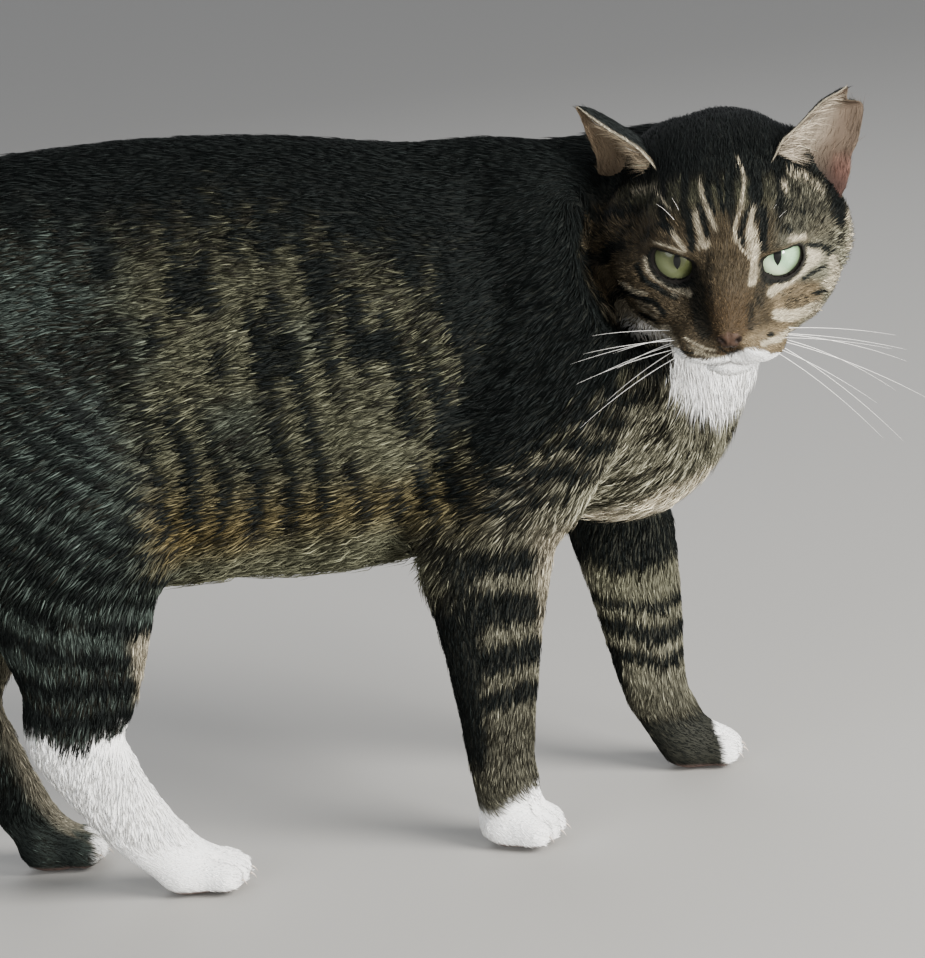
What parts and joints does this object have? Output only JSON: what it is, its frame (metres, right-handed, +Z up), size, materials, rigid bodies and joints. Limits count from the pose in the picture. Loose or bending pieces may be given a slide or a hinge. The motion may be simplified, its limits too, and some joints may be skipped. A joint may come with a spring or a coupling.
{
  "type": "domestic shorthair cat",
  "caption": "Still life-size domestic shorthair cat standing on its four feet with its head turned to its right, a brown tabby with white bib and feet.",
  "frame": {"origin": "on the floor, under the middle of the whole cat's bounding box", "axes": "+X from tail to chest, +Y to the cat's left, +Z up from the soles"},
  "size_m": [0.5936, 0.1714, 0.289],
  "materials": {
    "tabby_coat": "short dense fur, agouti brown and grey with blackish broken stripes",
    "dark_coat": "short dense fur, blackish brown",
    "white_coat": "short dense white fur",
    "ear_skin": "thin skin, bare and pinkish inside, short dark fur outside",
    "eye": "wet cornea over a pale green iris with a slit pupil"
  },
  "bodies": {
    "root": {"head": "tabby_coat", "neck": "tabby_coat", "torso": "tabby_coat", "ear_left": "ear_skin", "ear_right": "ear_skin", "eye_left": "eye", "eye_right": "eye", "foreleg_left_upper": "tabby_coat", "foreleg_left_lower": "tabby_coat", "foreleg_left_paw": "dark_coat", "foreleg_right_upper": "tabby_coat", "foreleg_right_lower": "tabby_coat", "foreleg_right_paw": "white_coat", "hindleg_left_upper": "tabby_coat", "hindleg_left_lower": "dark_coat", "hindleg_left_paw": "dark_coat", "hindleg_right_upper": "tabby_coat", "hindleg_right_lower": "white_coat", "hindleg_right_paw": "white_coat", "tail_base": "dark_coat", "tail_middle": "dark_coat", "tail_tip": "dark_coat"}
  },
  "joints": []
}
